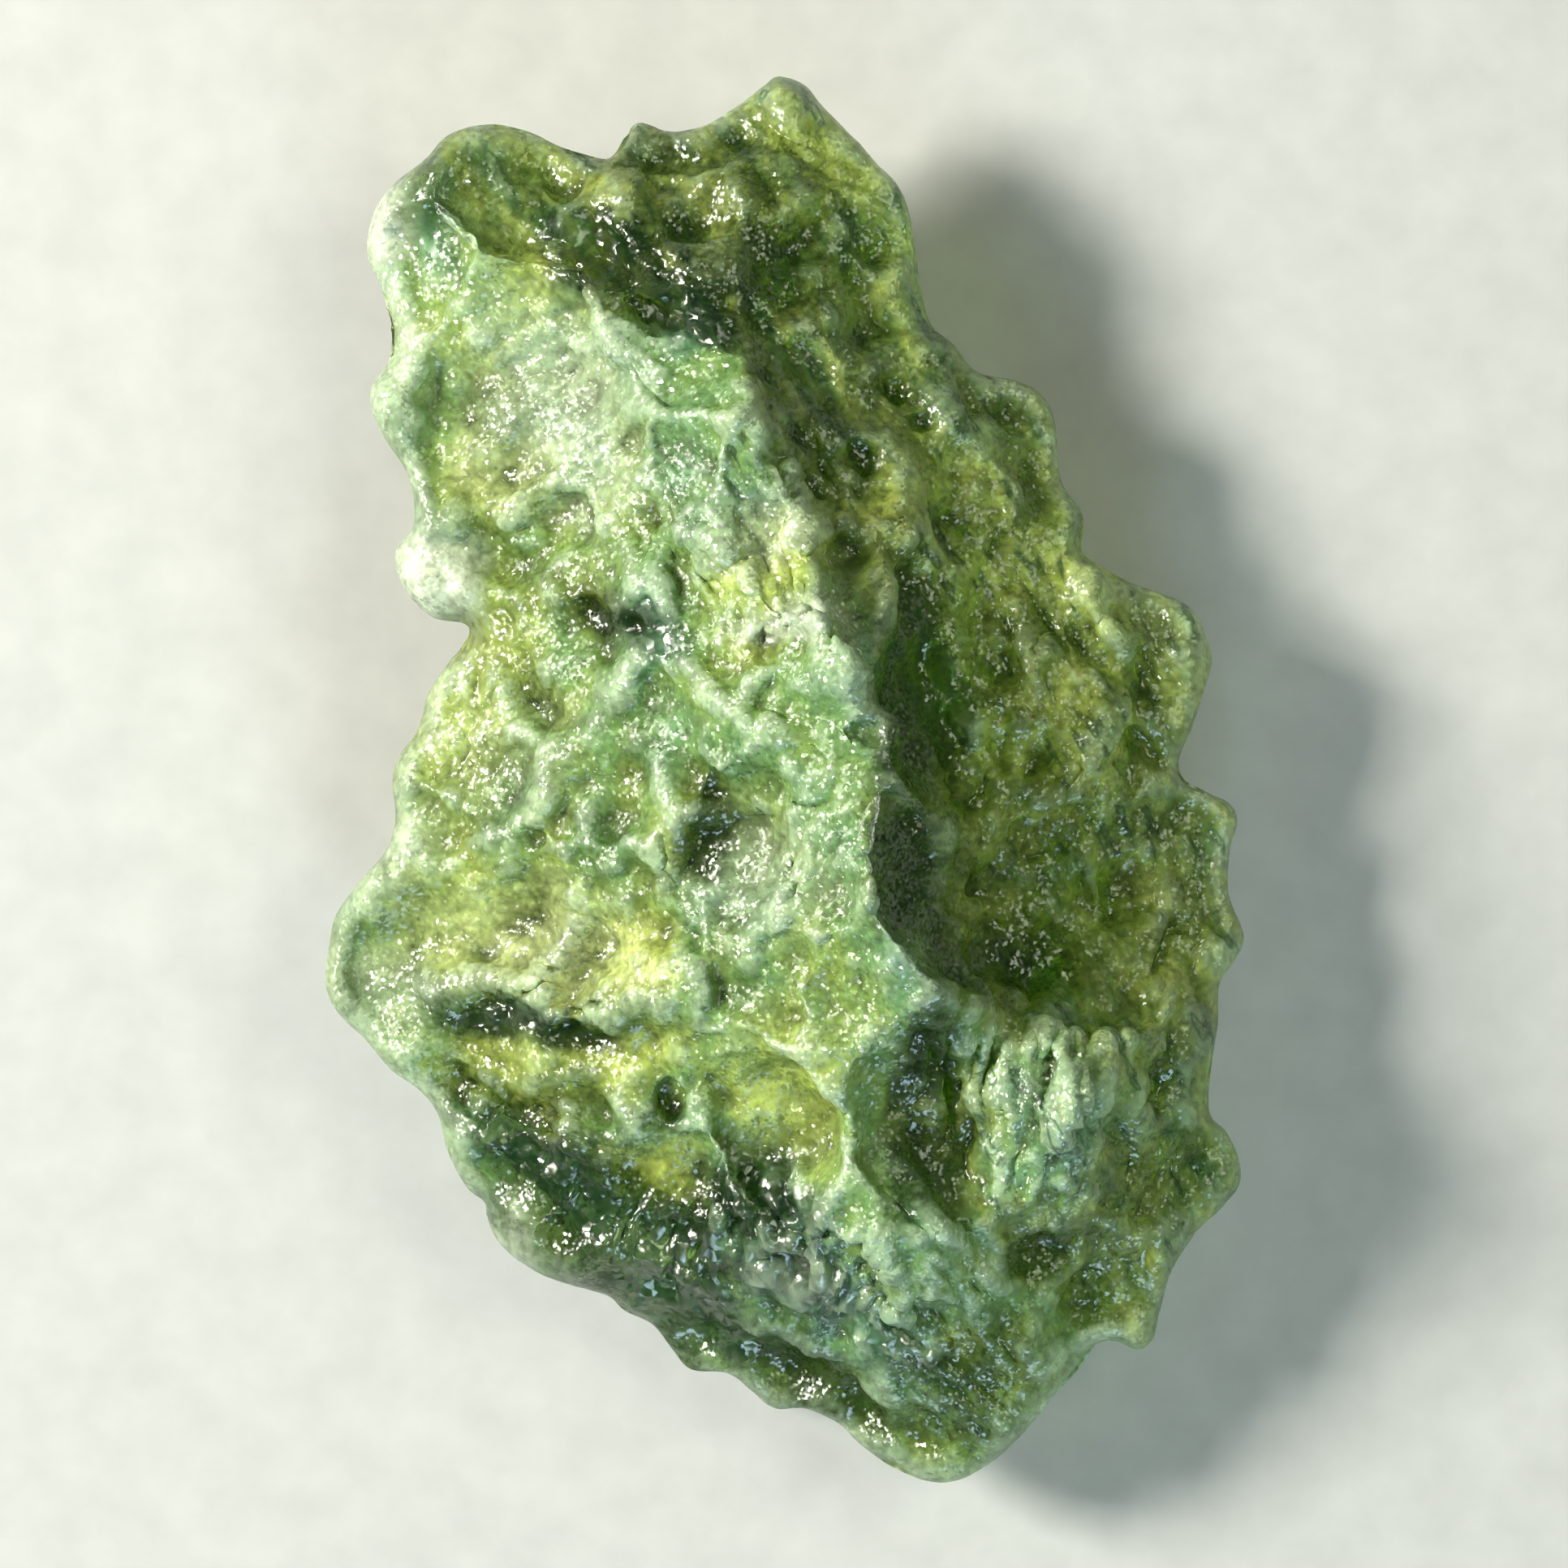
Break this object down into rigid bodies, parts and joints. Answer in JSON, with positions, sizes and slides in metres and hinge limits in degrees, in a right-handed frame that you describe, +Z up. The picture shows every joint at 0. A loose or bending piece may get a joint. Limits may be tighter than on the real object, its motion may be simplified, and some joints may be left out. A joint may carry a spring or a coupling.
{
  "type": "raw moldavite",
  "caption": "Raw piece of natural green glass, oval and ridged along its length, deeply pitted, with a scalloped edge, lying on its back.",
  "frame": {"origin": "centre of the bounding box in plan, at the surface that the stone lies on", "axes": "+Y along the stone's length towards its pointed top, +Z up, away from the surface, +X towards the thin scalloped edge"},
  "size_m": [0.0226, 0.0346, 0.01],
  "materials": {
    "moldavite_glass": "natural frosted surface with glossy points, light shows through the thin edges"
  },
  "bodies": {
    "root": {"moldavite": "moldavite_glass"}
  },
  "joints": []
}
